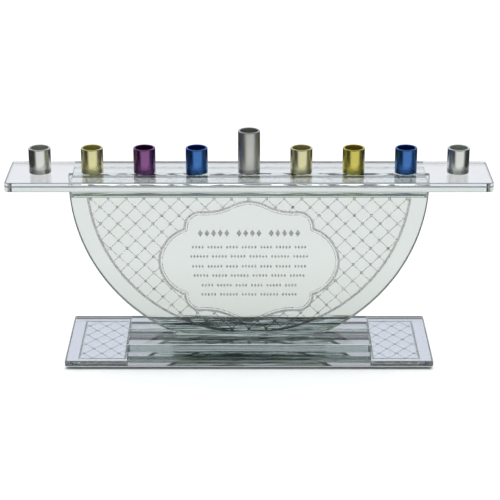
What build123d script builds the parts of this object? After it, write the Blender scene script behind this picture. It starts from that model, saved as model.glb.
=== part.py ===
from build123d import *
import math
import os

# Glass menorah for nine candles: a half-round plaque stands on a mirror base between two
# short bars and carries a long shelf with nine metal candle cups.
# Millimetres. X runs along the shelf, the front faces -Y, Z is up, and the origin is on the
# table under the middle of the base.

# ---- driving dimensions ----
SHELF_LENGTH = 290.0
SHELF_DEPTH = 43.5
SHELF_THICKNESS = 5.8
SHELF_CORNER_RADIUS = 2.5

PLAQUE_RADIUS = 108.7
PLAQUE_HEIGHT = 102.5
PLAQUE_THICKNESS = 4.8

BAR_THICKNESS = 5.4
UPPER_BAR_LENGTH = 213.4
UPPER_BAR_DEPTH = 13.5
LOWER_BAR_LENGTH = 149.4
LOWER_BAR_DEPTH = 20.8

BASE_LENGTH = 222.6
BASE_DEPTH = 72.2
BASE_GLASS_THICKNESS = 3.6
MIRROR_COAT_THICKNESS = 0.2
BASE_CORNER_RADIUS = 1.2

ARRIS = 0.4              # chamfer that takes the sharpness off every glass edge
PRINT_THICKNESS = 0.1    # raised silver print

FOOT_RADIUS = 4.5
FOOT_HEIGHT = 1.6
FOOT_INSET = 9.0         # from the base's edges to a foot's centre

CUP_PITCH = 31.4
CUP_OUTER_RADIUS = 6.6
CUP_BORE_RADIUS = 5.4
CUP_FLOOR = 1.5
CUP_RIM_CHAMFER = 0.3
CUP_HEIGHT = 15.4
SERVANT_CUP_HEIGHT = 26.1
CUP_NAMES = (
    "first_candle_cup",
    "second_candle_cup",
    "third_candle_cup",
    "fourth_candle_cup",
    "servant_candle_cup",
    "fifth_candle_cup",
    "sixth_candle_cup",
    "seventh_candle_cup",
    "eighth_candle_cup",
)

# Print on the plaque. Drops are measured down from the plaque's top edge.
BORDER_INSET = 11.0      # from the plaque's round edge to the middle of the border line
BORDER_WIDTH = 1.5
LATTICE_PITCH = 10.6     # corner to corner of one lattice diamond
LATTICE_LINE = 0.4
LATTICE_DOT_RADIUS = 1.0
CARTOUCHE_DROP = 51.1    # to the middle of the cartouche
CARTOUCHE_HALF_WIDTH = 55.5
CARTOUCHE_HALF_HEIGHT = 39.5
CARTOUCHE_LINE = 1.4
CARTOUCHE_INNER_GAP = 0.8
CARTOUCHE_INNER_LINE = 0.4

# Points on a quarter of the cartouche's outline, sideways and up from its middle
SIDE_SHOULDER = (51.2, 13.0)
NOTCH = (39.8, 21.8)
CORNER_CROWN = (36.9, 29.6)
SHOULDER = (30.5, 32.8)
OGEE_HOLLOW = (21.0, 33.1)
OGEE_TURN = (12.0, 35.9)
OGEE_CROWN = (6.2, 38.5)

# Print under the base glass, one panel beyond each end of the lower bars
PANEL_END_INSET = 7.5
PANEL_SIDE_INSET = 6.1
PANEL_BORDER_WIDTH = 1.2
PANEL_LATTICE_DEPTH = 14.4   # the base's diamonds are longer from front to back

# Rows of small lozenges inside the cartouche: drop, width, and how many groups share the row
TITLE_ROW = (32.6, 63.4, 3)
SMALL_ROWS = (
    (41.6, 69.8, 7),
    (47.6, 72.0, 6),
    (54.1, 71.0, 7),
    (60.1, 68.6, 6),
    (66.5, 59.3, 6),
    (72.5, 59.0, 5),
)
TITLE_LOZENGE = (3.1, 4.6)   # width and height
SMALL_LOZENGE = (1.5, 2.3)
LOZENGE_SPACING = 1.3        # centre to centre, in lozenge widths
GROUP_GAP = 1.1              # empty space between groups, in lozenge widths

# ---- levels and places that follow from them ----
COAT_BOTTOM = FOOT_HEIGHT
PANEL_PRINT_BOTTOM = COAT_BOTTOM + MIRROR_COAT_THICKNESS
BASE_GLASS_BOTTOM = PANEL_PRINT_BOTTOM + PRINT_THICKNESS
BASE_TOP = BASE_GLASS_BOTTOM + BASE_GLASS_THICKNESS
SHELF_BOTTOM = BASE_TOP + PLAQUE_HEIGHT
SHELF_TOP = SHELF_BOTTOM + SHELF_THICKNESS
PLAQUE_FRONT = -PLAQUE_THICKNESS / 2
UPPER_BAR_DROP = BAR_THICKNESS
LOWER_BAR_DROP = PLAQUE_HEIGHT - BAR_THICKNESS
BORDER_RADIUS = PLAQUE_RADIUS - BORDER_INSET


def glass_slab(length, depth, thickness, centre_y, bottom, corner_radius=0.0):
    """A flat rectangular pane with arrissed edges, and rounded upright corners if asked."""
    slab = Pos(0, centre_y, bottom + thickness / 2) * Box(length, depth, thickness)
    if corner_radius:
        slab = fillet(slab.edges().filter_by(Axis.Z), corner_radius)
    rims = slab.faces().sort_by(Axis.Z)
    return chamfer(rims[0].edges() + rims[-1].edges(), ARRIS)


def bar_pair(length, depth, bottom):
    """The front and the rear bar that grip the plaque between them."""
    centre = PLAQUE_THICKNESS / 2 + depth / 2
    front = glass_slab(length, depth, BAR_THICKNESS, -centre, bottom)
    rear = glass_slab(length, depth, BAR_THICKNESS, centre, bottom)
    return front, rear


def on_plaque(sketch, thickness=PRINT_THICKNESS):
    """Stands a flat sketch up against the plaque's front face, with its origin at the top."""
    front = Plane((0, PLAQUE_FRONT, SHELF_BOTTOM), x_dir=(1, 0, 0), z_dir=(0, -1, 0))
    return extrude(front * sketch, thickness)


def plaque_outline():
    """Half disc hanging from its straight top edge, cut flat where it stands on the base."""
    disc = Circle(PLAQUE_RADIUS)
    window = Pos(0, -PLAQUE_HEIGHT / 2) * Rectangle(2 * PLAQUE_RADIUS, PLAQUE_HEIGHT)
    return disc & window


def plaque_glass():
    plate = on_plaque(plaque_outline(), -PLAQUE_THICKNESS)
    broad_faces = plate.faces().filter_by(Axis.Y)
    return chamfer(broad_faces.edges(), ARRIS)


def candle_cup(height, centre_x):
    """A turned cup: closed floor, straight bore, and a bright chamfer inside and outside the rim."""
    chamfered = CUP_RIM_CHAMFER
    profile = Polyline(
        (0, 0),
        (CUP_OUTER_RADIUS - chamfered, 0),
        (CUP_OUTER_RADIUS, chamfered),
        (CUP_OUTER_RADIUS, height - chamfered),
        (CUP_OUTER_RADIUS - chamfered, height),
        (CUP_BORE_RADIUS + chamfered, height),
        (CUP_BORE_RADIUS, height - chamfered),
        (CUP_BORE_RADIUS, CUP_FLOOR),
        (0, CUP_FLOOR),
        close=True,
    )
    section = Plane.XZ * make_face(profile)
    return Pos(centre_x, 0, SHELF_TOP) * revolve(section, Axis.Z)


def foot(side_x, side_y):
    """A soft clear bumper with a rounded rim, glued under one corner of the base."""
    x = side_x * (BASE_LENGTH / 2 - FOOT_INSET)
    y = side_y * (BASE_DEPTH / 2 - FOOT_INSET)
    disc = Cylinder(FOOT_RADIUS, FOOT_HEIGHT)
    disc = fillet(disc.edges().sort_by(Axis.Z)[0], FOOT_HEIGHT / 2)
    return Pos(x, y, FOOT_HEIGHT / 2) * disc


def lattice(width, height, pitch_x, pitch_y):
    """Crossing diagonal lines with a dot on every crossing, centred on the origin."""
    slope = math.degrees(math.atan2(pitch_y, pitch_x))
    reach = math.hypot(width, height)
    columns = math.ceil((width / pitch_x + height / pitch_y) / 2)
    strips = [
        Pos(step * pitch_x, 0) * Rot(0, 0, turn) * Rectangle(2 * reach, LATTICE_LINE)
        for step in range(-columns, columns + 1)
        for turn in (slope, -slope)
    ]
    half_columns = math.ceil(width / pitch_x)
    half_rows = math.ceil(height / pitch_y)
    dots = [
        Pos(column * pitch_x / 2, row * pitch_y / 2) * Circle(LATTICE_DOT_RADIUS)
        for column in range(-half_columns, half_columns + 1)
        for row in range(-half_rows, half_rows + 1)
        if (column + row) % 2 == 0
    ]
    return Sketch() + strips + dots


def cartouche_outline():
    """Symmetric eight-lobed field: round sides, rounded corners, and an ogee above and below."""
    side = (CARTOUCHE_HALF_WIDTH, 0)
    peak = (0, CARTOUCHE_HALF_HEIGHT)
    arcs = (
        (side, SIDE_SHOULDER, NOTCH),
        (NOTCH, CORNER_CROWN, SHOULDER),
        (SHOULDER, OGEE_HOLLOW, OGEE_TURN),
        (OGEE_TURN, OGEE_CROWN, peak),
    )
    edges = [
        ThreePointArc(*[(x * flip_x, z * flip_z) for x, z in arc])
        for flip_x in (1, -1)
        for flip_z in (1, -1)
        for arc in arcs
    ]
    return Pos(0, -CARTOUCHE_DROP) * make_face(edges)


def band(outline, width):
    """The strip of that width just inside an outline."""
    return outline - offset(outline, -width)


def plaque_border():
    """Silver line that follows the plaque's round edge, between the bars."""
    outer = Circle(BORDER_RADIUS + BORDER_WIDTH / 2)
    inner = Circle(BORDER_RADIUS - BORDER_WIDTH / 2)
    return (outer - inner) & between_bars()


def between_bars():
    """The part of the plaque's front face that no bar covers."""
    height = LOWER_BAR_DROP - UPPER_BAR_DROP
    middle = (LOWER_BAR_DROP + UPPER_BAR_DROP) / 2
    return Pos(0, -middle) * Rectangle(2 * PLAQUE_RADIUS, height)


def plaque_lattice():
    """Square lattice between the border and the cartouche."""
    field = Circle(BORDER_RADIUS - BORDER_WIDTH / 2) & between_bars()
    field = field - cartouche_outline()
    pattern = lattice(2 * BORDER_RADIUS, 2 * BORDER_RADIUS, LATTICE_PITCH, LATTICE_PITCH)
    return pattern & field


def cartouche_border():
    return band(cartouche_outline(), CARTOUCHE_LINE)


def cartouche_inner_line():
    outline = offset(cartouche_outline(), -(CARTOUCHE_LINE + CARTOUCHE_INNER_GAP))
    return band(outline, CARTOUCHE_INNER_LINE)


def lozenge(width, height):
    half_width = width / 2
    half_height = height / 2
    corners = [(half_width, 0), (0, half_height), (-half_width, 0), (0, -half_height)]
    return make_face(Polyline(*corners, close=True))


def ornament_row(drop, width, groups, lozenge_size):
    """A centred row of lozenges in evenly spaced groups: plain ornament, not lettering."""
    step = lozenge_size[0] * LOZENGE_SPACING
    gap = lozenge_size[0] * GROUP_GAP
    count = round((width - (groups - 1) * gap) / step)
    breaks = {round(count * group / groups) for group in range(1, groups)}
    places = []
    x = 0.0
    for index in range(count):
        if index in breaks:
            x += gap
        places.append(x)
        x += step
    middle = places[-1] / 2
    return [Pos(x - middle, -drop) * lozenge(*lozenge_size) for x in places]


def title_ornament():
    return Sketch() + ornament_row(*TITLE_ROW, TITLE_LOZENGE)


def small_ornament():
    rows = [ornament_row(*row, SMALL_LOZENGE) for row in SMALL_ROWS]
    return Sketch() + [piece for row in rows for piece in row]


def panel_field(side_x):
    """The printed rectangle between one end of the base and the end of the lower bars."""
    inner_x = LOWER_BAR_LENGTH / 2
    outer_x = BASE_LENGTH / 2 - PANEL_END_INSET
    depth = BASE_DEPTH - 2 * PANEL_SIDE_INSET
    return Pos(side_x * (inner_x + outer_x) / 2, 0) * Rectangle(outer_x - inner_x, depth)


def under_base_glass(sketch):
    return Pos(0, 0, PANEL_PRINT_BOTTOM) * extrude(sketch, PRINT_THICKNESS)


def panel_border(side_x):
    return under_base_glass(band(panel_field(side_x), PANEL_BORDER_WIDTH))


def panel_lattice(side_x):
    pattern = lattice(BASE_LENGTH, BASE_DEPTH, LATTICE_PITCH, PANEL_LATTICE_DEPTH)
    return under_base_glass(pattern & offset(panel_field(side_x), -PANEL_BORDER_WIDTH))


def mirror_coat():
    """Silver and paint on the underside of the base glass."""
    coat = Rectangle(BASE_LENGTH - 2 * ARRIS, BASE_DEPTH - 2 * ARRIS)
    return Pos(0, 0, COAT_BOTTOM) * extrude(coat, MIRROR_COAT_THICKNESS)


def all_parts():
    parts = {}
    for y_name, side_y in (("front", -1), ("rear", 1)):
        for x_name, side_x in (("left", -1), ("right", 1)):
            parts[f"{y_name}_{x_name}_foot"] = foot(side_x, side_y)
    parts["base_mirror_coat"] = mirror_coat()
    parts["base_glass"] = glass_slab(
        BASE_LENGTH, BASE_DEPTH, BASE_GLASS_THICKNESS, 0, BASE_GLASS_BOTTOM, BASE_CORNER_RADIUS
    )
    for x_name, side_x in (("left", -1), ("right", 1)):
        parts[f"base_{x_name}_border_print"] = panel_border(side_x)
        parts[f"base_{x_name}_lattice_print"] = panel_lattice(side_x)
    lower = bar_pair(LOWER_BAR_LENGTH, LOWER_BAR_DEPTH, BASE_TOP)
    parts["lower_front_bar"], parts["lower_rear_bar"] = lower
    parts["plaque_glass"] = plaque_glass()
    parts["plaque_border_print"] = on_plaque(plaque_border())
    parts["plaque_lattice_print"] = on_plaque(plaque_lattice())
    parts["cartouche_border_print"] = on_plaque(cartouche_border())
    parts["cartouche_inner_line_print"] = on_plaque(cartouche_inner_line())
    parts["title_ornament_print"] = on_plaque(title_ornament())
    parts["row_ornament_print"] = on_plaque(small_ornament())
    upper = bar_pair(UPPER_BAR_LENGTH, UPPER_BAR_DEPTH, SHELF_BOTTOM - BAR_THICKNESS)
    parts["upper_front_bar"], parts["upper_rear_bar"] = upper
    parts["shelf_glass"] = glass_slab(
        SHELF_LENGTH, SHELF_DEPTH, SHELF_THICKNESS, 0, SHELF_BOTTOM, SHELF_CORNER_RADIUS
    )
    middle = len(CUP_NAMES) // 2
    for place, name in enumerate(CUP_NAMES):
        height = SERVANT_CUP_HEIGHT if place == middle else CUP_HEIGHT
        parts[name] = candle_cup(height, (place - middle) * CUP_PITCH)
    return parts


os.makedirs("parts", exist_ok=True)
for node, shape in all_parts().items():
    export_step(shape, f"parts/{node}.step")
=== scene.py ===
import math

import bmesh
import bpy
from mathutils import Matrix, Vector

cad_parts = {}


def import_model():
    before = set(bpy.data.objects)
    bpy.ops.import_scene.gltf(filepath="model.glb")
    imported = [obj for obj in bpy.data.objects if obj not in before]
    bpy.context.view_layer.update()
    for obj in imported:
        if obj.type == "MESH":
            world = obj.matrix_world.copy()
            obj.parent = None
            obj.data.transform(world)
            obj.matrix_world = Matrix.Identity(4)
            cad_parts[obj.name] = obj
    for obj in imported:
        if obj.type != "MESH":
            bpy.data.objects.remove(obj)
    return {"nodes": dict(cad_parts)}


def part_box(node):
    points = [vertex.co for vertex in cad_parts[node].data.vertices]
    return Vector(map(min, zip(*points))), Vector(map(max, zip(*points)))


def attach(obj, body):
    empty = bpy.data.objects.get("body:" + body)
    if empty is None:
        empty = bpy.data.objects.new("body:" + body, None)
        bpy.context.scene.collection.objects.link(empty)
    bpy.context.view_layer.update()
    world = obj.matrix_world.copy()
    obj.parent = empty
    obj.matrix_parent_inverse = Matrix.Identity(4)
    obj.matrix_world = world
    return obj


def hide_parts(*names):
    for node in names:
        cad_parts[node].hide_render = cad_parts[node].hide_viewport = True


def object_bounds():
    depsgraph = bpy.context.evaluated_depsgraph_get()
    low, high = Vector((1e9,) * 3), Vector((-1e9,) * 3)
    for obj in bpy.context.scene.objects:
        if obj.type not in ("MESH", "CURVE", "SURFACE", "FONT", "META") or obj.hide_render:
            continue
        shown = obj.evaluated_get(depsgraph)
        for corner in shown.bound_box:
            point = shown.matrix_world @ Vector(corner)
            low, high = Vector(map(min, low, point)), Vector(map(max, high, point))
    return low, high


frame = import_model()
cad_low, cad_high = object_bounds()

# The menorah's looks: clear bonded glass, silver prints, a mirror base and anodised cups.
# Metres, in the CAD frame. Every place comes from the frame's boxes.

MM = 0.001
BODY = "root"
NOISE_MIDDLE = (0.3, 0.7)    # the levels between which nearly all of a noise lies

# ---- view, as shares of the whole object's width and height ----
VIEW_DISTANCE = 3.899        # widths
VIEW_PITCH = math.radians(20.26)
AIM_HEIGHT = 0.455           # heights
AIM_SIDE = 0.002             # widths
LENS = 133.2                 # millimetres, on Blender's 36 mm sensor

# ---- glass ----
GLASS_INDEX = 1.52
BONDED_INDEX = 1.0           # the adhesive has the glass's own index, so light goes straight through
BOND_LINE = 0.06 * MM        # space left between two bonded panes
ARRIS = 0.4 * MM             # the panes' chamfer, which stays out of a bond
CLEAR_TINT = (0.805, 0.833, 0.815)
TOP_TINT = (0.78, 0.86, 0.82)          # the shelf's and the bars' under it
PLAQUE_TINT = (0.79, 0.872, 0.799)
SHADOW_TINT = (0.93, 0.96, 0.95)       # how much of the lamp's light a pane lets through
SHELF_DENSITY = 16.0         # per metre
UPPER_BAR_DENSITY = 28.0
BASE_DENSITY = 100.0
PLAQUE_DENSITY = 126.0
WAVE_SCALE = 90.0            # float glass is wavy over about a centimetre
LONG_WAVES = (0.25, 1.0, 1.0)          # the bars' waves run along them
PANE_WAVE = 0.004 * MM
PLAQUE_WAVE = 0.003 * MM
BAR_WAVE = 0.012 * MM
UPPER_BAR_HAZE = 0.06        # roughness of the upper bars' faces, which aren't fully polished

# ---- ground faces and arrises, which don't shine ----
# painted highlight on the lower bars' arrises: up-facing, and down-facing beyond the plaque
ARRIS_PAINTED_HIGHLIGHT = (0.88, 0.90, 0.89)
GROUND_DARK = (0.24, 0.25, 0.25)
# painted shade on a lower bar's down-facing arris beside the plaque
ARRIS_PAINTED_SHADE = (0.02, 0.03, 0.03)
GROUND_RIM = (0.19, 0.18, 0.165)       # the plaque's round rim
GROUND_ROUGHNESS = 0.5
GROUND_TRANSMISSION = 0.3
MARK_OTHER = 0.5             # values of the faces' "ground" attribute, where 0 is polished
MARK_END = 0.6               # the ends of panes, a little paler than the rest where the up-facing arris carries a painted highlight
MARK_UP_FRONT = 0.75
MARK_DOWN_FRONT = 1.0
SQUARE_ON = 0.95             # a face looks along an axis if its normal reaches this far along it
TILTED = 0.3                 # and it leans that way from here
ROUND_RIM = 0.9              # the plaque's rim is ground except its flat foot and top
FLAT_ON = 0.99               # a bonded face looks straight at its neighbour
CUT_TOLERANCE = 1e-7

# ---- adhesive ----
CLEAR = (1.0, 1.0, 1.0)
STREAK_TOP = 10.0 * MM       # how far the plaque's streaky foot reaches above the lower bars
STREAK_DARK = (0.015, 0.025, 0.02)
STREAK_PALE = (0.95, 1.0, 0.97)
PLAQUE_STREAKS = (0.035, 1.0, 1.0)     # the streaks run along the joints
PLAQUE_STREAK_SCALE = 1300.0
PLAQUE_STREAK_EDGES = (0.40, 0.55)     # noise levels where dark turns pale
BAR_STREAKS = (0.05, 1.0, 1.0)
BAR_STREAK_SCALE = 330.0
BAR_STREAK_DARK = (0.04, 0.06, 0.05)
BAR_STREAK_EDGES = (0.42, 0.50)
BAR_STREAK_STRENGTH = 0.40
GLINT_EDGES = (0.54, 0.60)
BUBBLE_ROWS = (90.0, 200.0, 0.0)       # long bubbles in the joint between plaque and shelf
BUBBLE_EDGES = (0.48, 0.52)
BUBBLE_DARK = (0.0, 0.0, 0.0)
GLUE_OVERRUN = (2 * MM, 6 * MM)        # how far the bars' adhesive goes on past the plaque's flank
RAGGED_END = 12 * MM         # how unevenly the adhesive ends along a bar
WANDER = 6 * MM              # how unevenly its lines run across a bar
BEAD_REACH = (8 * MM, 10 * MM)         # from the plaque's middle to the end of the milky bead
FRONT_LINE = (22.5 * MM, 24 * MM)      # and to the dark line near the bar's outer face

# ---- prints ----
INKS = {  # darkest flake, lightest flake, flake size, metallic
    "ornament_ink": ((0.25, 0.255, 0.25), (0.80, 0.81, 0.80), 0.30 * MM, 0.6),
    "base_glitter": ((0.06, 0.065, 0.07), (0.46, 0.47, 0.49), 0.45 * MM, 0.2),
    "border_glitter": ((0.34, 0.345, 0.34), (0.95, 0.96, 0.95), 0.35 * MM, 0.6),
    "silver_glitter": ((0.22, 0.225, 0.22), (1.0, 1.0, 1.0), 0.55 * MM, 0.7),
}
FOOT_INK = (0.17, 0.19, 0.18)           # the ink's flat, darker colour below the top of the plaque's streaky foot
FLAKE_ROUGHNESS = (0.25, 0.6)
FLAKE_BUMP = (0.05 * MM, 0.7)          # depth, strength

# ---- mirror and bumpers ----
SILVER = ((0.86, 0.86, 0.90), (0.90, 0.90, 0.93))
SILVER_ROUGHNESS = 0.02
SILVER_BUMP = (0.01 * MM, 0.3)         # depth, strength
SILVER_RIPPLES = 40.0
SILVER_MOTTLE = 500.0
BUMPER = ((0.75, 0.77, 0.77), (0.86, 0.88, 0.88))
BUMPER_ROUGHNESS = (0.25, 0.4)
BUMPER_BUMP = (0.05 * MM, 0.3)         # depth, strength
BUMPER_CLOUD = 900.0
BUMPER_TRANSMISSION = 0.6

# ---- cups ----
CUP_SEGMENTS = 96
CUP_WALL = 1.2 * MM
LIP_STEPS = 8                # segments of the rounded lip
CREASE = math.radians(30)
CUP_BASE_GAP = 0.04 * MM     # between the cup's underside and the shelf
LATHE_RINGS = (40.0, 40.0, 9000.0)     # noise squeezed upright into fine level rings
RING_BUMP = (0.004 * MM, 0.3)          # depth, strength
LATHE_ANISOTROPY = 0.4
CLOUD_SCALE = 260.0
CLOUD_SHADE = 0.94           # the anodising's uneven depth of colour
CLOUD_LEVELS = (0.25, 0.75)
ROUGHNESS_SPREAD = (0.92, 1.1)
BORE_EDGE = (0.1 * MM, 0.3 * MM)       # outside the bore's wall, where the drilled look ends
# painted shade: how far the bore's colour is darkened
BORE_PAINTED_SHADE = 0.85
BORE_METAL = 0.6
CUP_FOOT_PAINTED_SHADE = (2.0 * MM, 3.6 * MM)        # painted shade: the painted darker reflection at the foot ends between these
FOOT_PAINTED_SHADE = 0.6
CUP_STYLES = {
    "first_candle_cup": "bright",
    "second_candle_cup": "khaki",
    "third_candle_cup": "purple",
    "fourth_candle_cup": "blue",
    "servant_candle_cup": "satin",
    "fifth_candle_cup": "champagne",
    "sixth_candle_cup": "yellow",
    "seventh_candle_cup": "blue",
    "eighth_candle_cup": "bright",
}
CUP_FINISHES = {  # colour, roughness, the record's slot
    "bright": ((0.74, 0.77, 0.72), 0.24, "bright_aluminium"),
    "khaki": ((0.76, 0.73, 0.38), 0.24, "khaki_gold_aluminium"),
    "purple": ((0.25, 0.10, 0.27), 0.24, "purple_aluminium"),
    "blue": ((0.06, 0.18, 0.48), 0.24, "blue_aluminium"),
    "satin": ((0.60, 0.61, 0.57), 0.36, "satin_aluminium"),
    "champagne": ((0.74, 0.71, 0.43), 0.24, "champagne_aluminium"),
    "yellow": ((0.64, 0.57, 0.13), 0.24, "yellow_gold_aluminium"),
}

# ---- studio, where angles are from straight in front of the object ----
LIT_LEFT = (math.radians(-46), math.radians(-26))    # the low light's soft left and right ends
LIT_RIGHT = (math.radians(44), math.radians(70))
DARK_FRONT = (math.radians(18), math.radians(30))
GREY_SIDE = (math.radians(58), math.radians(72))
PALE_BEHIND = (math.radians(100), math.radians(130))
HORIZON = (-0.02, 0.02)      # heights on the sky's unit sphere
LOW_SIDE = (0.40, 0.60)
LOW_TONES = ((0.04, 0.04, 0.04), (1.0, 1.0, 1.0))    # unlit, lit
SIDE_TONES = ((0.16, 0.16, 0.17), (0.45, 0.46, 0.50))   # higher up or further round, low
REAR_TONE = (0.85, 0.88, 0.97)
FRONT_TONE = (0.10, 0.095, 0.095)
SEEN_TONE = (0.95, 0.95, 0.95)
CEILING_TOWARDS = (0, -0.06, -1)
CEILING_SPREAD = math.radians(70)
CEILING_POWER = 2.6
GLASS_BOUNCES = 32
METAL_BOUNCES = 12
SHADOW_BOUNCES = 24

# ---- floor ----
FLOOR_SIZE = 6.0             # from the middle to an edge, in metres
PAPER = ((0.90, 0.90, 0.90), (0.92, 0.92, 0.92))
PAPER_PAINTED_SHADOW_NEAR = (0.55, 0.55, 0.54)        # painted shadow close to the object; the next, painted shade further off; both as the floor looks through the glass
PAPER_PAINTED_SHADE_AWAY = (0.66, 0.66, 0.65)
# painted shade far to the sides, seen only through the glass
PAPER_PAINTED_SHADE_ASIDE = (0.12, 0.12, 0.12)
PAPER_ROUGHNESS = 0.9
PAPER_BUMP = (0.05 * MM, 0.2)          # depth, strength
PAPER_GRAIN = 700.0
AWAY_STRETCH = (0.3, 1.0, 0.0)         # near reaches furthest along the object
AWAY_REACH = (0.03, 0.17)              # metres from the middle
ASIDE_REACH = (0.24, 0.36)


# ---------------------------------------------------------------- node helpers
class Nodes:
    """A material's or world's node tree, with short calls for the nodes used here."""

    def __init__(self, owner):
        owner.use_nodes = True
        self.tree = owner.node_tree
        self.tree.nodes.clear()

    def add(self, kind, **settings):
        node = self.tree.nodes.new(kind)
        for name, value in settings.items():
            setattr(node, name, value)
        return node

    def put(self, socket, value):
        """Links an output socket, or sets a plain value."""
        if isinstance(value, bpy.types.NodeSocket):
            self.tree.links.new(value, socket)
        elif hasattr(value, "__len__") and len(value) == 3 and socket.type == "RGBA":
            socket.default_value = (*value, 1.0)
        else:
            socket.default_value = value

    def math(self, operation, first, second=0.0, third=0.0):
        node = self.add("ShaderNodeMath", operation=operation)
        for socket, value in zip(node.inputs, (first, second, third)):
            self.put(socket, value)
        return node.outputs[0]

    def ramp(self, value, low, high, to_low=0.0, to_high=1.0):
        """Smooth step from to_low to to_high as value goes from low to high."""
        node = self.add("ShaderNodeMapRange", interpolation_type="SMOOTHSTEP")
        for name, setting in (
            ("Value", value),
            ("From Min", low),
            ("From Max", high),
            ("To Min", to_low),
            ("To Max", to_high),
        ):
            self.put(node.inputs[name], setting)
        return node.outputs["Result"]

    def blend(self, factor, first, second):
        """A colour between two colours."""
        node = self.add("ShaderNodeMix", data_type="RGBA")
        self.put(node.inputs["Factor"], factor)
        self.put(node.inputs[6], first)
        self.put(node.inputs[7], second)
        return node.outputs[2]

    def place(self, stretch=(1.0, 1.0, 1.0)):
        """The point in the object's own frame, in metres, stretched for a pattern."""
        point = self.add("ShaderNodeTexCoord").outputs["Object"]
        node = self.add("ShaderNodeMapping")
        self.put(node.inputs["Vector"], point)
        node.inputs["Scale"].default_value = stretch
        return node.outputs["Vector"]

    def mark(self, name):
        """What the mesh's faces carry under a name."""
        return self.add("ShaderNodeAttribute", attribute_name=name).outputs["Fac"]

    def split(self, vector):
        """The X, Y and Z of a vector."""
        node = self.add("ShaderNodeSeparateXYZ")
        self.put(node.inputs[0], vector)
        return node.outputs

    def length(self, vector):
        node = self.add("ShaderNodeVectorMath", operation="LENGTH")
        self.put(node.inputs[0], vector)
        return node.outputs["Value"]

    def noise(self, vector, scale, detail=3.0, roughness=0.5):
        node = self.add("ShaderNodeTexNoise")
        self.put(node.inputs["Vector"], vector)
        node.inputs["Scale"].default_value = scale
        node.inputs["Detail"].default_value = detail
        node.inputs["Roughness"].default_value = roughness
        return node.outputs["Fac"]

    def bump(self, height, depth, strength=1.0):
        node = self.add("ShaderNodeBump")
        self.put(node.inputs["Height"], height)
        node.inputs["Distance"].default_value = depth
        node.inputs["Strength"].default_value = strength
        return node.outputs["Normal"]


def material(name):
    made = bpy.data.materials.new(name)
    return made, Nodes(made)


# ---------------------------------------------------------------- materials
def plaque_glue(nodes):
    """The plaque's colour: streaks between the lower bars, long bubbles on its top, clear elsewhere."""
    level = nodes.split(nodes.place())["Z"]
    foot_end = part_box("lower_front_bar")[1].z + STREAK_TOP
    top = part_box("plaque_glass")[1].z
    below_foot_end = nodes.ramp(level, foot_end - MM, foot_end, 1.0, 0.0)
    at_top = nodes.ramp(level, top - ARRIS, top - ARRIS / 4)
    glued = nodes.math("MAXIMUM", below_foot_end, at_top)
    waves = nodes.noise(nodes.place(PLAQUE_STREAKS), PLAQUE_STREAK_SCALE)
    dashes = nodes.noise(nodes.place(BUBBLE_ROWS), 1.0, detail=2.0)
    streaks = nodes.blend(nodes.ramp(waves, *PLAQUE_STREAK_EDGES), STREAK_DARK, STREAK_PALE)
    bubbles = nodes.blend(nodes.ramp(dashes, *BUBBLE_EDGES), BUBBLE_DARK, CLEAR)
    return nodes.blend(glued, CLEAR, nodes.blend(at_top, streaks, bubbles))


def beside_plaque(nodes, waves):
    """1 on the stretch of a lower bar that lies along the plaque, with ragged ends."""
    along = nodes.math("ABSOLUTE", nodes.split(nodes.place())["X"])
    flank = plaque_half_width(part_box("lower_front_bar")[1].z)
    start, end = GLUE_OVERRUN
    ragged = nodes.math("MULTIPLY_ADD", waves, RAGGED_END, along)
    return nodes.ramp(ragged, flank + start, flank + end, 1.0, 0.0)


def bar_glue(nodes, near, waves, bonded):
    """A lower bar's colour and milkiness: a milky bead along the plaque, dark wavy streaks beyond."""
    off_plaque = nodes.math("ABSOLUTE", nodes.split(nodes.place())["Y"])
    glued = nodes.math("MULTIPLY", near, bonded)
    wander = nodes.math("MULTIPLY_ADD", waves, WANDER, off_plaque)
    front_line = nodes.ramp(wander, *FRONT_LINE)
    wavy = nodes.ramp(waves, *BAR_STREAK_EDGES, BAR_STREAK_STRENGTH, 0.0)
    dark = nodes.math("MAXIMUM", front_line, wavy)
    bead = nodes.ramp(wander, *BEAD_REACH, 1.0, 0.0)
    glint = nodes.ramp(waves, *GLINT_EDGES)
    milky = nodes.math("MULTIPLY", bead, glint)
    streaks = nodes.blend(dark, CLEAR, BAR_STREAK_DARK)
    return nodes.blend(glued, CLEAR, streaks), nodes.math("MULTIPLY", glued, milky)


def dull_tone(nodes, ground, arris, upper_arris, lower_arris):
    """The ground faces' colour. At the front, arrises that look up and down have their own: on the
    lower bars, a painted highlight on the up-facing arris, and on the down-facing one a painted
    highlight beyond the plaque and painted shade beside it.
    """
    catches_light = nodes.ramp(ground, MARK_OTHER, MARK_UP_FRONT)
    faces_down = nodes.ramp(ground, MARK_UP_FRONT, MARK_DOWN_FRONT)
    return nodes.blend(faces_down, nodes.blend(catches_light, arris, upper_arris), lower_arris)


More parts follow.
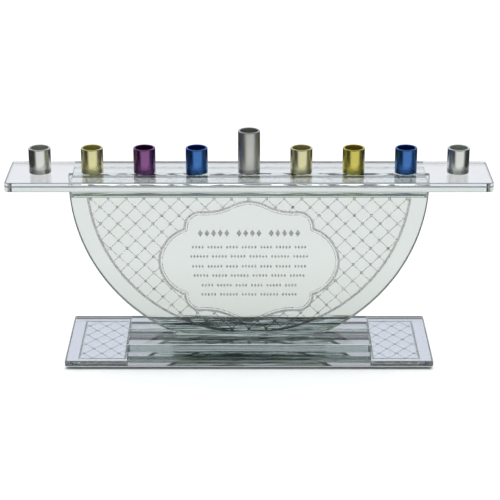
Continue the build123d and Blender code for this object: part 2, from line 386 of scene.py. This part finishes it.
def glass(
    name,
    tint,
    density,
    wave_depth,
    wave_stretch=(1.0, 1.0, 1.0),
    arris=GROUND_DARK,
    upper_arris=GROUND_DARK,
    haze=0.0,
    glue=None,
):
    """Tinted float glass with faintly wavy faces and ground arrises.

    Bonded faces let light straight through, apart from the adhesive's streaks: glue is "plaque"
    or "bar" for a pane that shows them. Density is per metre.
    """
    made, nodes = material(name)
    bonded = nodes.mark("bonded")
    ground = nodes.mark("ground")
    polished, milky, lower_arris = CLEAR, 0.0, GROUND_DARK
    if glue == "plaque":
        polished = plaque_glue(nodes)
    elif glue == "bar":
        streaks = nodes.noise(nodes.place(BAR_STREAKS), BAR_STREAK_SCALE, roughness=0.6)
        near = beside_plaque(nodes, streaks)
        polished, milky = bar_glue(nodes, near, streaks, bonded)
        # painted highlight on the down-facing arris beyond the plaque, painted shade beside it
        lower_arris = nodes.blend(near, ARRIS_PAINTED_HIGHLIGHT, ARRIS_PAINTED_SHADE)
    is_ground = nodes.ramp(ground, 0.0, MARK_OTHER)
    dull = dull_tone(nodes, ground, arris, upper_arris, lower_arris)
    matt = nodes.math("MAXIMUM", is_ground, milky)
    waves = nodes.noise(nodes.place(wave_stretch), WAVE_SCALE, detail=2.0)
    shader = nodes.add("ShaderNodeBsdfPrincipled")
    for socket, value in (
        ("Base Color", nodes.blend(is_ground, polished, dull)),
        ("Roughness", nodes.ramp(matt, 0.0, 1.0, haze, GROUND_ROUGHNESS)),
        ("Transmission Weight", nodes.ramp(matt, 0.0, 1.0, 1.0, GROUND_TRANSMISSION)),
        ("IOR", nodes.ramp(bonded, 0.0, 1.0, GLASS_INDEX, BONDED_INDEX)),
        ("Normal", nodes.bump(waves, wave_depth)),
    ):
        nodes.put(shader.inputs[socket], value)
    out = nodes.add("ShaderNodeOutputMaterial")
    nodes.put(out.inputs["Surface"], pale_shadow(nodes, shader))
    inside = nodes.add("ShaderNodeVolumeAbsorption")
    nodes.put(inside.inputs["Color"], tint)
    inside.inputs["Density"].default_value = density
    nodes.put(out.inputs["Volume"], inside.outputs[0])
    return made


def pale_shadow(nodes, shader):
    """The shader, with the lamp's light let through."""
    lamp_side = nodes.add("ShaderNodeBsdfTransparent")
    nodes.put(lamp_side.inputs["Color"], SHADOW_TINT)
    mix = nodes.add("ShaderNodeMixShader")
    nodes.put(mix.inputs[0], nodes.add("ShaderNodeLightPath").outputs["Is Shadow Ray"])
    nodes.put(mix.inputs[1], shader.outputs[0])
    nodes.put(mix.inputs[2], lamp_side.outputs[0])
    return mix.outputs[0]


def surface(nodes, colour, roughness, metallic=0.0, normal=None, **extra):
    """A Principled surface wired to the output."""
    shader = nodes.add("ShaderNodeBsdfPrincipled")
    nodes.put(shader.inputs["Base Color"], colour)
    nodes.put(shader.inputs["Roughness"], roughness)
    nodes.put(shader.inputs["Metallic"], metallic)
    if normal is not None:
        nodes.put(shader.inputs["Normal"], normal)
    for label, value in extra.items():
        shader.inputs[label.replace("_", " ")].default_value = value
    out = nodes.add("ShaderNodeOutputMaterial")
    nodes.put(out.inputs["Surface"], shader.outputs[0])


def scaled(values, factor):
    return tuple(value * factor for value in values)


def anodised(name, colour, roughness):
    """Turned aluminium: fine rings round the cup, slightly uneven, with a duller drilled bore whose
    colour is deepened and darkened as painted shade.
    """
    made, nodes = material(name)
    rings = nodes.noise(nodes.place(LATHE_RINGS), 1.0, detail=2.0)
    cloud = nodes.noise(nodes.place(), CLOUD_SCALE)
    outside = nodes.blend(nodes.ramp(cloud, *NOISE_MIDDLE), scaled(colour, CLOUD_SHADE), colour)
    level = nodes.split(nodes.place())["Z"]
    # painted shade: the cup's colour darkens towards its foot
    outside = nodes.blend(nodes.ramp(level, *CUP_FOOT_PAINTED_SHADE), scaled(colour, FOOT_PAINTED_SHADE), outside)
    low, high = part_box("first_candle_cup")
    bore = (high.x - low.x) / 2 - CUP_WALL
    from_axis = nodes.length(nodes.place((1.0, 1.0, 0.0)))
    is_outside = nodes.ramp(from_axis, *[bore + reach for reach in BORE_EDGE])
    # painted shade in the bore: the colour squared and darkened
    painted_shade_bore = tuple(channel**2 * BORE_PAINTED_SHADE for channel in colour)
    shine = nodes.ramp(cloud, *CLOUD_LEVELS, *scaled(ROUGHNESS_SPREAD, roughness))
    metal = nodes.ramp(is_outside, 0.0, 1.0, BORE_METAL, 1.0)
    normal = nodes.bump(rings, *RING_BUMP)
    tone = nodes.blend(is_outside, painted_shade_bore, outside)
    surface(nodes, tone, shine, metal, normal, Anisotropic=LATHE_ANISOTROPY)
    return made


def glitter(name, darker_below=0.0):
    """Silver ink full of tiny flakes that each catch the light their own way."""
    dark, light, size, metallic = INKS[name]
    made, nodes = material(name)
    flakes = nodes.add("ShaderNodeTexVoronoi")
    nodes.put(flakes.inputs["Vector"], nodes.place())
    flakes.inputs["Scale"].default_value = 1.0 / size
    shade = nodes.add("ShaderNodeSeparateColor")
    nodes.put(shade.inputs[0], flakes.outputs["Color"])
    level = nodes.split(nodes.place())["Z"]
    in_foot_zone = nodes.ramp(level, darker_below - MM, darker_below, 1.0, 0.0)
    colour = nodes.blend(in_foot_zone, nodes.blend(shade.outputs[0], dark, light), FOOT_INK)
    shine = nodes.ramp(shade.outputs[1], 0.0, 1.0, *FLAKE_ROUGHNESS)
    normal = nodes.bump(shade.outputs[2], *FLAKE_BUMP)
    surface(nodes, colour, shine, metallic, normal)
    return made


def mirror(name):
    """Silver behind the base glass, very slightly uneven."""
    made, nodes = material(name)
    ripple = nodes.noise(nodes.place(), SILVER_RIPPLES, detail=2.0)
    mottle = nodes.noise(nodes.place(), SILVER_MOTTLE, detail=2.0)
    tone = nodes.blend(nodes.ramp(mottle, *NOISE_MIDDLE), *SILVER)
    surface(nodes, tone, SILVER_ROUGHNESS, 1.0, nodes.bump(ripple, *SILVER_BUMP))
    return made


def bumper(name):
    """Soft clear plastic, slightly cloudy."""
    made, nodes = material(name)
    cloud = nodes.noise(nodes.place(), BUMPER_CLOUD)
    tone = nodes.blend(cloud, *BUMPER)
    shine = nodes.ramp(cloud, *NOISE_MIDDLE, *BUMPER_ROUGHNESS)
    normal = nodes.bump(cloud, *BUMPER_BUMP)
    surface(nodes, tone, shine, 0.0, normal, Transmission_Weight=BUMPER_TRANSMISSION)
    return made


def paper_and_painted_shade(name):
    """Pale studio paper with a fine grain.

    Through glass it shows painted shade: a painted shadow a shade deeper close to the object, and much
    darker painted shade far to the sides.
    """
    made, nodes = material(name)
    grain = nodes.noise(nodes.place(), PAPER_GRAIN)
    pale = nodes.blend(grain, *PAPER)
    away = nodes.ramp(nodes.length(nodes.place(AWAY_STRETCH)), *AWAY_REACH)
    shaded = nodes.blend(away, PAPER_PAINTED_SHADOW_NEAR, PAPER_PAINTED_SHADE_AWAY)
    sideways = nodes.math("ABSOLUTE", nodes.split(nodes.place())["X"])
    shaded = nodes.blend(nodes.ramp(sideways, *ASIDE_REACH), shaded, PAPER_PAINTED_SHADE_ASIDE)
    # the camera sees the pale paper; every other ray sees the painted shade
    direct = nodes.add("ShaderNodeLightPath").outputs["Is Camera Ray"]
    tone = nodes.blend(direct, shaded, pale)
    normal = nodes.bump(grain, *PAPER_BUMP)
    surface(nodes, tone, PAPER_ROUGHNESS, 0.0, normal, Specular_IOR_Level=0.0)
    return made


# ---------------------------------------------------------------- glass pieces
def box_sides(axis, low, high):
    """The four planes round a box's face, as (place, outward direction)."""
    planes = []
    for across in {0, 1, 2} - {axis}:
        for side, corner in ((-1, low), (1, high)):
            outward = Vector((0, 0, 0))
            outward[across] = side
            planes.append((corner, outward))
    return planes


def contact(axis, side, neighbour):
    """Where a pane touches a boxy neighbour: an arris narrower than the neighbour all round."""
    low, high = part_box(neighbour)
    rim = Vector((ARRIS, ARRIS, ARRIS))
    return axis, side, box_sides(axis, low + rim, high - rim)


def plaque_half_width(level):
    """How far the round plaque reaches from its middle at a height."""
    low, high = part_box("plaque_glass")
    radius = (high.x - low.x) / 2
    return math.sqrt(radius**2 - (high.z - level) ** 2)


def plaque_foot(side):
    """Where the plaque's flat foot stands on the base."""
    low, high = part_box("plaque_glass")
    reach = Vector((plaque_half_width(low.z) - ARRIS, high.y - ARRIS, 0))
    return 2, side, box_sides(2, -reach, reach)


def plaque_flank(side):
    """Where the plaque's widening lower end lies against a lower bar."""
    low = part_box("lower_front_bar")[0].z + ARRIS
    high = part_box("lower_front_bar")[1].z - ARRIS
    planes = [(Vector((0, 0, low)), Vector((0, 0, -1))), (Vector((0, 0, high)), Vector((0, 0, 1)))]
    narrow = plaque_half_width(low) - ARRIS
    wide = plaque_half_width(high) - ARRIS
    for mirrored in (-1, 1):
        slanting = Vector((mirrored * (high - low), 0, narrow - wide)).normalized()
        planes.append((Vector((mirrored * narrow, 0, low)), slanting))
    return 1, side, planes


def ground_mark(normal, thickness_axis):
    """The "ground" value of a face of a pane, by where it looks."""
    along, across, up = normal
    is_plaque = thickness_axis == 1
    if is_plaque and up > TILTED:
        return 0.0  # the plaque's top is bonded, and adhesive fills its arrises
    if TILTED < abs(normal[thickness_axis]) < SQUARE_ON:
        if across < -TILTED and abs(up) > TILTED:
            return MARK_UP_FRONT if up > 0 else MARK_DOWN_FRONT
        return MARK_OTHER
    if not is_plaque and abs(along) > SQUARE_ON:
        return MARK_END
    if is_plaque and abs(across) < TILTED and abs(up) < ROUND_RIM:
        return MARK_OTHER
    return 0.0


def faces_on(shape, axis, side):
    return [face for face in shape.faces if face.normal[axis] * side > FLAT_ON]


def cut(shape, faces, place, outward):
    """Cuts some of a mesh's faces along a plane."""
    corners = {corner for face in faces for corner in face.verts}
    edges = {edge for face in faces for edge in face.edges}
    bmesh.ops.bisect_plane(
        shape,
        geom=[*corners, *edges, *faces],
        dist=CUT_TOLERANCE,
        plane_co=place,
        plane_no=outward,
    )


def mark_faces(mesh, thickness_axis, patches):
    """Marks the ground faces, and cuts the faces along each bonded patch and marks its inside.

    A patch is (axis, side, planes): the pane's face on that side of the axis, within the planes.
    """
    shape = bmesh.new()
    shape.from_mesh(mesh)
    ground = shape.faces.layers.float.new("ground")
    for face in shape.faces:
        face[ground] = ground_mark(face.normal, thickness_axis)
    bonded = shape.faces.layers.float.new("bonded")
    for axis, side, planes in patches:
        for place, outward in planes:
            cut(shape, faces_on(shape, axis, side), place, outward)
        for face in faces_on(shape, axis, side):
            centre = face.calc_center_median()
            if all((centre - place).dot(outward) < 0 for place, outward in planes):
                face[bonded] = 1.0
    shape.to_mesh(mesh)
    shape.free()


def pane(node, look, patches, thickness_axis=2):
    """A CAD pane in glass, half a bond line smaller all round, with its bonded patches."""
    low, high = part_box(node)
    centre = (low + high) / 2
    mesh = frame["nodes"][node].data.copy()
    for vertex in mesh.vertices:
        for axis in range(3):
            shrink = 1 - BOND_LINE / (high[axis] - low[axis])
            vertex.co[axis] = centre[axis] + (vertex.co[axis] - centre[axis]) * shrink
    mark_faces(mesh, thickness_axis, patches)
    piece = bpy.data.objects.new(node + "_pane", mesh)
    bpy.context.scene.collection.objects.link(piece)
    mesh.materials.clear()
    mesh.materials.append(look)
    for polygon in mesh.polygons:
        polygon.use_smooth = False
    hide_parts(node)
    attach(piece, BODY)


def pane_looks():
    """The panes' kinds of glass."""
    return {
        "shelf": glass("shelf_glass_look", TOP_TINT, SHELF_DENSITY, PANE_WAVE),
        "base": glass("base_glass_look", CLEAR_TINT, BASE_DENSITY, PANE_WAVE),
        "lower bar": glass(
            "lower_bar_glass_look",
            CLEAR_TINT,
            BASE_DENSITY,
            BAR_WAVE,
            LONG_WAVES,
            # painted highlight on the lower bars' up-facing arris
            upper_arris=ARRIS_PAINTED_HIGHLIGHT,
            glue="bar",
        ),
        "upper bar": glass(
            "upper_bar_glass_look",
            TOP_TINT,
            UPPER_BAR_DENSITY,
            BAR_WAVE,
            LONG_WAVES,
            haze=UPPER_BAR_HAZE,
        ),
        "plaque": glass(
            "plaque_glass_look",
            PLAQUE_TINT,
            PLAQUE_DENSITY,
            PLAQUE_WAVE,
            arris=GROUND_RIM,
            glue="plaque",
        ),
    }


def all_panes():
    looks = pane_looks()
    y, z = 1, 2
    below, above = -1, 1
    front, rear = -1, 1
    pane("base_glass", looks["base"], [
        contact(z, above, "lower_front_bar"),
        contact(z, above, "lower_rear_bar"),
        plaque_foot(above),
        contact(z, below, "base_mirror_coat"),
    ])
    pane("shelf_glass", looks["shelf"], [contact(z, below, "plaque_glass")])
    for name, towards_plaque in (("front", rear), ("rear", front)):
        node = f"lower_{name}_bar"
        foot = contact(z, below, "base_glass")
        pane(node, looks["lower bar"], [foot, plaque_flank(towards_plaque)])
        node = f"upper_{name}_bar"
        pane(node, looks["upper bar"], [contact(y, towards_plaque, "plaque_glass")])
    pane("plaque_glass", looks["plaque"], [
        contact(z, below, "base_glass"),
        contact(z, above, "shelf_glass"),
        contact(y, front, "lower_front_bar"),
        contact(y, rear, "lower_rear_bar"),
        contact(y, front, "upper_front_bar"),
        contact(y, rear, "upper_rear_bar"),
    ], thickness_axis=y)


# ---------------------------------------------------------------- cups
def cup_profile(outer, height):
    """Half section of a turned cup, as (radius, height) from the middle of its underside."""
    bore = outer - CUP_WALL
    lip = CUP_WALL / 2
    foot_edge = 0.1 * MM
    rim = 0.3 * MM
    bore_floor = 1.5 * MM
    drill_tip = 0.5 * MM
    arc = [math.pi * step / LIP_STEPS for step in range(LIP_STEPS + 1)]
    return [
        (0.0, 0.0),
        (outer - foot_edge, 0.0),
        (outer, foot_edge),
        *[(bore + lip + lip * math.cos(t), height - lip + lip * math.sin(t)) for t in arc],
        (bore, bore_floor + rim),
        (bore - rim, bore_floor),
        (0.0, bore_floor - drill_tip),
    ]


def turned(name, profile, middle):
    """Spins a half section round a vertical axis into a closed mesh."""
    points, faces = [], []
    rings = [p for p in profile if p[0] > 0]
    for radius, level in rings:
        for step in range(CUP_SEGMENTS):
            turn = 2 * math.pi * step / CUP_SEGMENTS
            points.append((radius * math.cos(turn), radius * math.sin(turn), level))
    for ring in range(len(rings) - 1):
        for step in range(CUP_SEGMENTS):
            after = (step + 1) % CUP_SEGMENTS
            a = ring * CUP_SEGMENTS
            b = a + CUP_SEGMENTS
            faces.append((a + step, a + after, b + after, b + step))
    under = len(points)
    points.append((0, 0, profile[0][1]))
    inside = len(points)
    points.append((0, 0, profile[-1][1]))
    last = (len(rings) - 1) * CUP_SEGMENTS
    for step in range(CUP_SEGMENTS):
        after = (step + 1) % CUP_SEGMENTS
        faces.append((under, after, step))
        faces.append((inside, last + step, last + after))
    mesh = bpy.data.meshes.new(name)
    mesh.from_pydata(points, [], faces)
    mesh.update()
    piece = bpy.data.objects.new(name, mesh)
    piece.location = middle
    bpy.context.scene.collection.objects.link(piece)
    return piece


def smooth(piece, angle):
    """Smooth shading with creases sharper than the angle kept."""
    mesh = piece.data
    for polygon in mesh.polygons:
        polygon.use_smooth = True
    mesh.set_sharp_from_angle(angle=angle)


def all_cups():
    looks = {}
    for style, (colour, roughness, _) in CUP_FINISHES.items():
        looks[style] = anodised(style + "_anodised", colour, roughness)
    for node, style in CUP_STYLES.items():
        low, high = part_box(node)
        middle = Vector(((low.x + high.x) / 2, (low.y + high.y) / 2, low.z + CUP_BASE_GAP))
        outer = (high.x - low.x) / 2
        height = high.z - low.z - CUP_BASE_GAP
        piece = turned(node + "_turned", cup_profile(outer, height), middle)
        smooth(piece, CREASE)
        piece.data.materials.append(looks[style])
        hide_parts(node)
        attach(piece, BODY)


# ---------------------------------------------------------------- CAD nodes that stay
def paint(node, look):
    """Gives a CAD node its finish."""
    materials = frame["nodes"][node].data.materials
    materials.clear()
    materials.append(look)


def print_looks():
    """The printed nodes' finishes, as (what the node's name holds, finish). The first match counts."""
    foot_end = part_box("lower_front_bar")[1].z + STREAK_TOP
    return (
        ("ornament", glitter("ornament_ink")),
        ("base_", glitter("base_glitter")),
        ("_border", glitter("border_glitter", foot_end)),
        ("_print", glitter("silver_glitter", foot_end)),
    )


def paint_cad():
    prints = print_looks()
    silver = mirror("mirror_silver")
    soft = bumper("bumper_clear")
    for node in frame["nodes"]:
        if node.endswith("_print"):
            paint(node, next(look for part, look in prints if part in node))
        elif node.endswith("_foot"):
            paint(node, soft)
        elif node == "base_mirror_coat":
            paint(node, silver)


# ---------------------------------------------------------------- stage
def floor():
    mesh = bpy.data.meshes.new("floor")
    turns = ((-1, -1), (1, -1), (1, 1), (-1, 1))
    corners = [(x * FLOOR_SIZE, y * FLOOR_SIZE, 0) for x, y in turns]
    mesh.from_pydata(corners, [], [(0, 1, 2, 3)])
    sheet = bpy.data.objects.new("floor", mesh)
    bpy.context.scene.collection.objects.link(sheet)
    sheet.data.materials.append(paper_and_painted_shade("studio_paper_and_painted_shade"))
    sheet.visible_glossy = False


def world():
    """What the glass and metal reflect. The camera sees an even pale tone.

    Below the horizon there is light in front alone. Above it the front is dark and the sides
    are grey, darker higher up and further round, and it is pale behind.
    """
    made = bpy.data.worlds.new("studio")
    bpy.context.scene.world = made
    nodes = Nodes(made)
    x, y, z = nodes.split(nodes.add("ShaderNodeTexCoord").outputs["Generated"])
    off_front = nodes.math("ARCTAN2", x, nodes.math("MULTIPLY", y, -1.0))
    from_left = nodes.ramp(off_front, *LIT_LEFT)
    to_right = nodes.ramp(off_front, *LIT_RIGHT, 1.0, 0.0)
    lit = nodes.math("MULTIPLY", from_left, to_right)
    lower = nodes.blend(lit, *LOW_TONES)
    around = nodes.math("ABSOLUTE", off_front)
    low = nodes.ramp(z, *LOW_SIDE, 1.0, 0.0)
    low_side = nodes.math("MULTIPLY", low, nodes.ramp(around, *GREY_SIDE, 1.0, 0.0))
    side = nodes.blend(low_side, *SIDE_TONES)
    upper = nodes.blend(nodes.ramp(around, *PALE_BEHIND), side, REAR_TONE)
    upper = nodes.blend(nodes.ramp(around, *DARK_FRONT), FRONT_TONE, upper)
    studio = nodes.blend(nodes.ramp(z, *HORIZON), lower, upper)
    seen = nodes.add("ShaderNodeLightPath").outputs["Is Camera Ray"]
    light = nodes.add("ShaderNodeBackground")
    nodes.put(light.inputs["Color"], nodes.blend(seen, studio, SEEN_TONE))
    out = nodes.add("ShaderNodeOutputWorld")
    nodes.put(out.inputs["Surface"], light.outputs[0])


def soft_light(name, towards, spread, power):
    """Even light from a wide patch of ceiling, the same all over the floor."""
    data = bpy.data.lights.new(name, "SUN")
    data.angle = spread
    data.energy = power
    lamp = bpy.data.objects.new(name, data)
    bpy.context.scene.collection.objects.link(lamp)
    lamp.rotation_euler = Vector(towards).to_track_quat("-Z", "Y").to_euler()
    lamp.visible_glossy = False


def camera():
    width = cad_high.x - cad_low.x
    height = cad_high.z - cad_low.z
    data = bpy.data.cameras.new("camera")
    data.lens = LENS
    eye = bpy.data.objects.new("camera", data)
    bpy.context.scene.collection.objects.link(eye)
    aim = Vector((AIM_SIDE * width, 0, cad_low.z + AIM_HEIGHT * height))
    back = Vector((0, -math.cos(VIEW_PITCH), math.sin(VIEW_PITCH)))
    eye.location = aim + back * VIEW_DISTANCE * width
    eye.rotation_euler = (-back).to_track_quat("-Z", "Y").to_euler()
    bpy.context.scene.camera = eye


def stage():
    floor()
    world()
    soft_light("overhead", CEILING_TOWARDS, CEILING_SPREAD, CEILING_POWER)
    scene = bpy.context.scene
    scene.view_settings.view_transform = "Standard"
    scene.cycles.max_bounces = GLASS_BOUNCES
    scene.cycles.transmission_bounces = GLASS_BOUNCES
    scene.cycles.glossy_bounces = METAL_BOUNCES
    scene.cycles.transparent_max_bounces = SHADOW_BOUNCES
    camera()


all_panes()
all_cups()
paint_cad()
stage()
